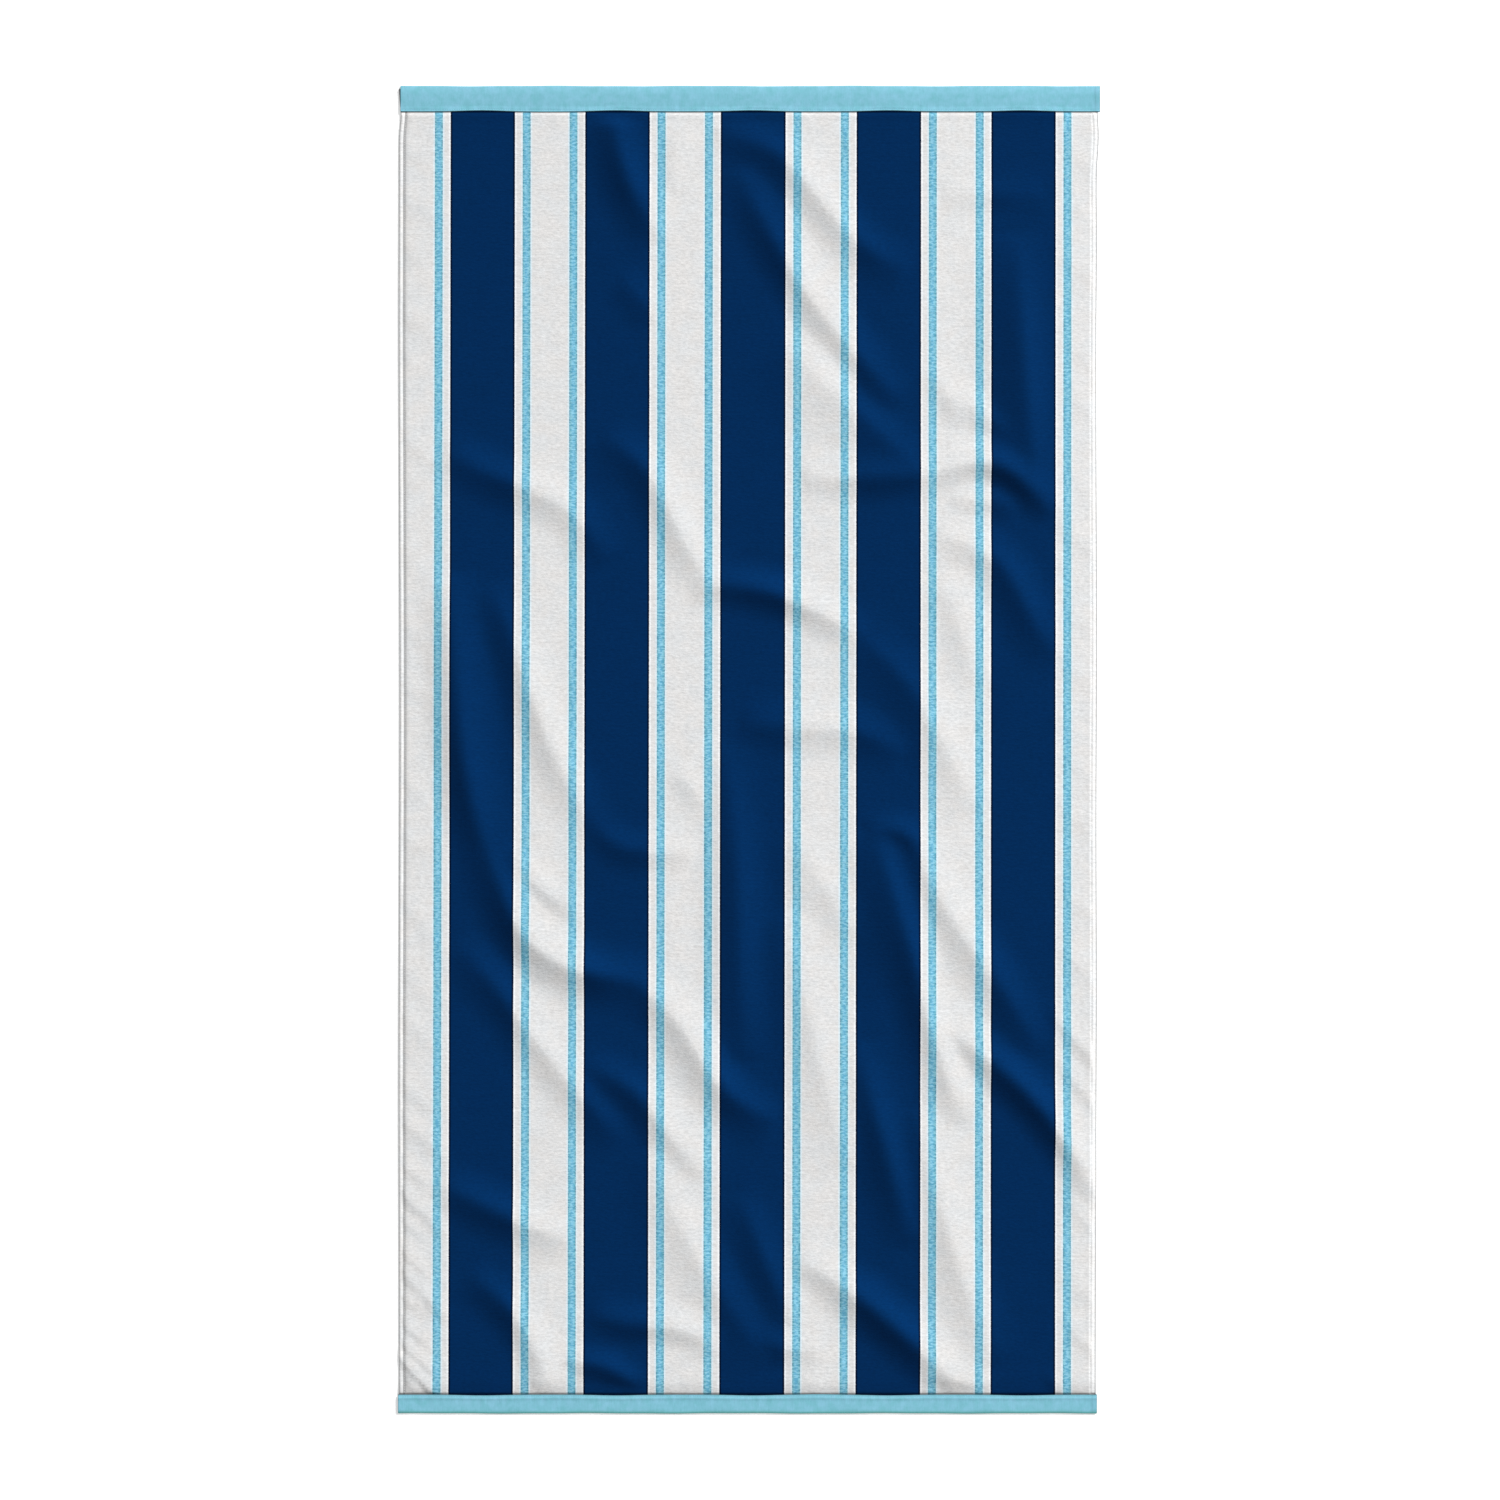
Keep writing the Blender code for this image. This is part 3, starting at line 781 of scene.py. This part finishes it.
def terry_material():
    """Sheared cotton pile in woven stripes: navy, and a pair of light blue lines, on an off-white ground."""
    material, tree, shader = new_material("striped velour terry", 0.95, 0.03, 0.015)
    place = put(tree, "ShaderNodeUVMap", uv_map="cloth").outputs[0]
    fuzz = noise(tree, place, 700.0)
    across, along, _ = put(tree, "ShaderNodeSeparateXYZ", {0: place}).outputs
    shaky = maths(tree, "MULTIPLY_ADD", fuzz, 0.0010, maths(tree, "SUBTRACT", across, 0.0005))
    half = REPEAT / 2
    from_middle = maths(tree, "DIVIDE", maths(tree, "PINGPONG", shaky, half * MM), half * MM)
    rows = stretched(tree, place, (0.42, 1.0, 1.0))
    # two versions of the stripes, a pale and a deep one, that the yarns change between
    versions = []
    for tones in ((BLUE_PALE, PALE_SIDE, PALE_SIDE), (BLUE_DEEP, DEEP_SIDE, BLUE_FLECK)):
        stops = stripe_stops(*tones)
        versions.append(ramp(tree, from_middle, [(min(1.0, mm / half), tone) for mm, tone in stops]))
    yarns = noise(tree, rows, 430.0, 2.0, 0.6)
    picked = ramp(tree, yarns, ((0.42, (0.0, 0.0, 0.0)), (0.58, (1.0, 1.0, 1.0))))
    colour = mixed(tree, picked, *versions)
    # painted light and shade on the folds, by how each slope faces the key light: in the navy, slopes turned
    # to the light are painted lighter and slopes turned away darker; the white is painted a little darker on
    # both
    slope_for_painted_shade = value_of(tree, "slope_for_painted_shade")
    turned_away = maths(tree, "MINIMUM", slope_for_painted_shade, 0.0)
    turned_to = maths(tree, "MAXIMUM", slope_for_painted_shade, 0.0)
    on_white = maths(tree, "MULTIPLY_ADD", turned_to, -0.3, 1.0)
    on_white = maths(tree, "MULTIPLY_ADD", turned_away, 0.35, on_white)
    on_navy = maths(tree, "MAXIMUM", maths(tree, "MULTIPLY_ADD", slope_for_painted_shade, 1.1, 1.0), 0.5)
    edge = NAVY_HALF / half
    navy = ramp(tree, from_middle, ((edge - 0.003, (1.0, 1.0, 1.0)), (edge + 0.003, (0.0, 0.0, 0.0))))
    more = maths(tree, "MULTIPLY", navy, maths(tree, "SUBTRACT", on_navy, on_white))
    painted_slope_shade = maths(tree, "ADD", on_white, more)
    # woven rows across the pile, the speckle of its tips, and soft patches
    speckle = noise(tree, rows, 400.0, 3.0, 0.65)
    streaks = stretched(tree, place, (0.12, 1.0, 1.0))
    weft = noise(tree, streaks, 210.0, 2.0, 0.5)
    patches = noise(tree, place, 45.0)
    tone = maths(tree, "MULTIPLY_ADD", speckle, 0.62, 0.56)
    tone = maths(tree, "MULTIPLY_ADD", weft, 0.16, tone)
    tone = maths(tree, "MULTIPLY_ADD", patches, 0.10, tone)
    # painted light and shade multiplied in: by the folds' slopes, and along the hems and beside the tapes
    tone = maths(tree, "MULTIPLY", maths(tree, "MULTIPLY", tone, painted_slope_shade), value_of(tree, "tone"))
    toned = mixed(tree, 1.0, colour, grey(tree, tone), "MULTIPLY")
    warmth = noise(tree, place, 34.0, 3.0, 0.6)
    tint = ramp(tree, warmth, ((0.38, (1.0, 0.992, 0.975)), (0.62, (0.975, 0.995, 1.0))))
    toned = mixed(tree, 1.0, toned, tint, "MULTIPLY")
    # the back is looped, and a little of each yarn's other colour shows between the loops
    back = maths(tree, "MULTIPLY", value_of(tree, "reverse"), 0.10)
    finished = mixed(tree, back, toned, (0.45, 0.52, 0.58, 1.0))
    tree.links.new(finished, shader.inputs["Base Color"])
    tips = maths(tree, "MULTIPLY_ADD", speckle, 1.0, maths(tree, "MULTIPLY", fuzz, 0.5))
    bump = put(tree, "ShaderNodeBump", {"Height": tips, "Strength": 0.4, "Distance": 0.0011})
    tree.links.new(bump.outputs[0], shader.inputs["Normal"])
    return material


def tape_material():
    """Plain-woven cotton tape."""
    material, tree, shader = new_material("light blue tape", 0.85, 0.15, 0.03)
    place = put(tree, "ShaderNodeUVMap", uv_map="tape").outputs[0]
    across, along, _ = put(tree, "ShaderNodeSeparateXYZ", {0: place}).outputs
    warp = maths(tree, "SINE", maths(tree, "MULTIPLY", across, 2 * math.pi / 0.0008))
    weft = maths(tree, "SINE", maths(tree, "MULTIPLY", along, 2 * math.pi / 0.0007))
    weave = maths(tree, "MULTIPLY", warp, weft)
    slub = noise(tree, place, 90.0, 4.0, 0.6)
    threads = stretched(tree, place, (1.0, 0.15, 1.0))
    fine = noise(tree, threads, 620.0, 2.0, 0.6)
    colour = ramp(tree, slub, ((0.32, (0.172, 0.462, 0.545)), (0.68, (0.226, 0.510, 0.650))))
    # painted shade: a darker teal on the bottom tape's fold
    colour = mixed(tree, value_of(tree, "painted_roll_shade"), colour, (0.125, 0.415, 0.405, 1.0))
    # painted light and shade from the tone attribute, over the threads' own light and dark
    tone = maths(tree, "MULTIPLY", maths(tree, "MULTIPLY_ADD", fine, 0.22, 0.89), value_of(tree, "tone"))
    toned = mixed(tree, 1.0, colour, grey(tree, tone), "MULTIPLY")
    tree.links.new(toned, shader.inputs["Base Color"])
    height = maths(tree, "MULTIPLY_ADD", weave, 0.5, slub)
    bump = put(tree, "ShaderNodeBump", {"Height": height, "Strength": 0.25, "Distance": 0.0003})
    tree.links.new(bump.outputs[0], shader.inputs["Normal"])
    return material


def thread_material(name, dark, light):
    """Twisted sewing thread."""
    material, tree, shader = new_material(name, 0.7, 0.25, 0.03)
    place = put(tree, "ShaderNodeTexCoord").outputs["Object"]
    twist = noise(tree, place, 1500.0, 2.0)
    tree.links.new(ramp(tree, twist, ((0.3, dark), (0.7, light))), shader.inputs["Base Color"])
    bump = put(tree, "ShaderNodeBump", {"Height": twist, "Strength": 0.3, "Distance": 0.0002})
    tree.links.new(bump.outputs[0], shader.inputs["Normal"])
    return material


def floor_material():
    """White paper over a weak light, so that shadows on it stay pale."""
    material, tree, shader = new_material("white paper", 0.9)
    shader.inputs["Emission Color"].default_value = (1.0, 1.0, 1.0, 1.0)
    shader.inputs["Emission Strength"].default_value = 0.32
    place = put(tree, "ShaderNodeTexCoord").outputs["Object"]
    grain = noise(tree, place, 3.0)
    colour = ramp(tree, grain, ((0.3, (0.945, 0.945, 0.945)), (0.7, (0.955, 0.955, 0.955))))
    tree.links.new(colour, shader.inputs["Base Color"])
    return material


# ---------------------------------------------------------------- floor, lights and camera
FRAME_WIDTH = 1.923  # metres of the surface that the picture takes in
LENS = 85.0
SENSOR = 36.0
AIM = (0.0012, -0.0010)  # the picture's middle, in metres


def make_floor():
    """A wide sheet of white paper just under the towel."""
    bpy.ops.mesh.primitive_plane_add(size=14.0, location=(0.0, 0.0, -0.0004))
    floor = bpy.context.object
    floor.name = "floor"
    bpy.ops.object.transform_apply(location=True)
    floor.data.materials.append(floor_material())


def make_lights():
    """An even white surround, a key from the upper right, and a broad weak lamp at the right side."""
    scene = bpy.context.scene
    world = bpy.data.worlds.new("studio")
    world.use_nodes = True
    background = world.node_tree.nodes["Background"]
    background.inputs[0].default_value = (1.0, 1.0, 1.0, 1.0)
    background.inputs[1].default_value = 0.41
    scene.world = world
    sun = bpy.data.lights.new("key", "SUN")
    sun.energy = 3.2
    sun.angle = math.radians(18)
    key = bpy.data.objects.new("key", sun)
    scene.collection.objects.link(key)
    key.rotation_euler = (math.radians(90.0 - KEY_HEIGHT), 0.0, math.radians(90.0 + KEY_BEARING))
    broad = bpy.data.lights.new("side lamp", "AREA")
    broad.shape = "DISK"
    broad.size = 1.2
    broad.energy = 13.0
    lamp = bpy.data.objects.new("side lamp", broad)
    scene.collection.objects.link(lamp)
    lamp.location = (2.2, 0.8, 1.6)
    lamp.rotation_euler = (-Vector(lamp.location)).to_track_quat("-Z", "Y").to_euler()


def make_camera():
    """A camera straight above the towel."""
    scene = bpy.context.scene
    scene.view_settings.view_transform = "Standard"
    scene.view_settings.look = "None"
    data = bpy.data.cameras.new("camera")
    data.lens = LENS
    data.sensor_width = SENSOR
    camera = bpy.data.objects.new("camera", data)
    scene.collection.objects.link(camera)
    camera.location = (*AIM, FRAME_WIDTH * LENS / SENSOR + 0.004)
    scene.camera = camera


def own(piece, node=None):
    """The piece belongs to the towel, and stands for the plain one if there is one."""
    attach(piece, "root")
    if node:
        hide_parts(node)


for item in list(bpy.context.selected_objects):
    item.select_set(False)
make_camera()
make_lights()
make_floor()
top_reach = top_high[1] - TOP_EDGE
bottom_reach = BOTTOM_EDGE - bottom_low[1]
# each tape's box, its side of the towel, depth and ripples, where its waves start, and its bulge
top_build = (top_low, top_high, 1.0, top_reach, TOP_RIPPLES, 0.4, 0.8)
bottom_build = (bottom_low, bottom_high, -1.0, bottom_reach, BOTTOM_RIPPLES, 2.1, 1.8)
white_thread = thread_material("white thread", (0.64, 0.65, 0.66), (0.80, 0.80, 0.81))
blue_thread = thread_material("light blue thread", (0.20, 0.46, 0.58), (0.33, 0.62, 0.74))
tape = tape_material()
cloth = make_cloth(terry_material())
top = make_binding("top_tape", *top_build, tape)
bottom = make_binding("bottom_tape", *bottom_build, tape)
own(cloth, "towel_cloth")
own(top, "binding_top")
own(bottom, "binding_bottom")
own(make_stitches("hem_stitches", hem_seams(), white_thread))
own(make_stitches("top_stitches", tape_seam(*top_build), blue_thread))
own(make_stitches("bottom_stitches", tape_seam(*bottom_build), blue_thread))
